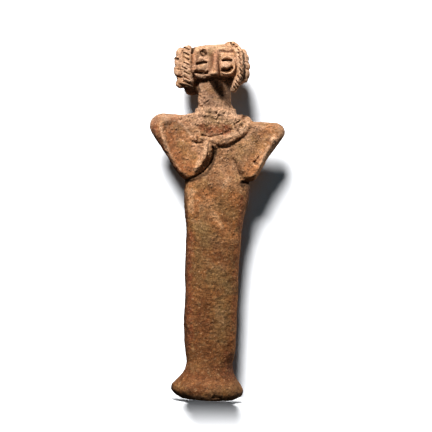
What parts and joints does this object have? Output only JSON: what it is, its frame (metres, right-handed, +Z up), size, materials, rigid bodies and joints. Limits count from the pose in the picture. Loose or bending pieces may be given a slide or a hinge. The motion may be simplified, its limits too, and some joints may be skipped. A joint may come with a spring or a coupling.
{
  "type": "terracotta fertility figure",
  "caption": "Hand-modelled fired-clay pillar figure on a flared foot, with flat folded arms, a necklace strip, applied ring eyes and plaited hair.",
  "frame": {"origin": "on the flat sole, under the middle of the bounding box", "axes": "+Z up along the pillar, -Y the way the face looks, +X to the figure's own left hand"},
  "size_m": [0.0653, 0.0311, 0.1742],
  "materials": {
    "fired_clay": "matt, unglazed, orange-brown with grey-tan burial crust and worn light edges"
  },
  "bodies": {
    "root": {"fertility_figure": "fired_clay"}
  },
  "joints": []
}
